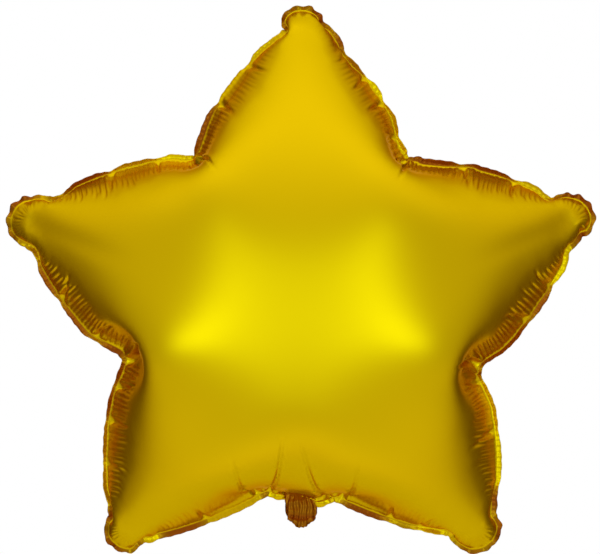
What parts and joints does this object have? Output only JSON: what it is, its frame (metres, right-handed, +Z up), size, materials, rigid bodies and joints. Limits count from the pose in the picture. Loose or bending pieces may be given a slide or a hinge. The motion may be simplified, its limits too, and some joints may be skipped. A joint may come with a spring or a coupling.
{
  "type": "star foil balloon",
  "caption": "Inflated star-shaped foil balloon in satin gold, with a crinkled welded flange, puckered seam and a short crumpled neck at the bottom.",
  "frame": {"origin": "the point on the neck at the bottom where the balloon is tied, in the plane of the seam", "axes": "+Z up through the top arm, +X to the right seen from the front across the side arms, front of the balloon towards -Y"},
  "size_m": [0.426, 0.165, 0.3999],
  "materials": {
    "gold_foil": "satin metallic gold foil"
  },
  "bodies": {
    "root": {"foil_balloon": "gold_foil"}
  },
  "joints": []
}
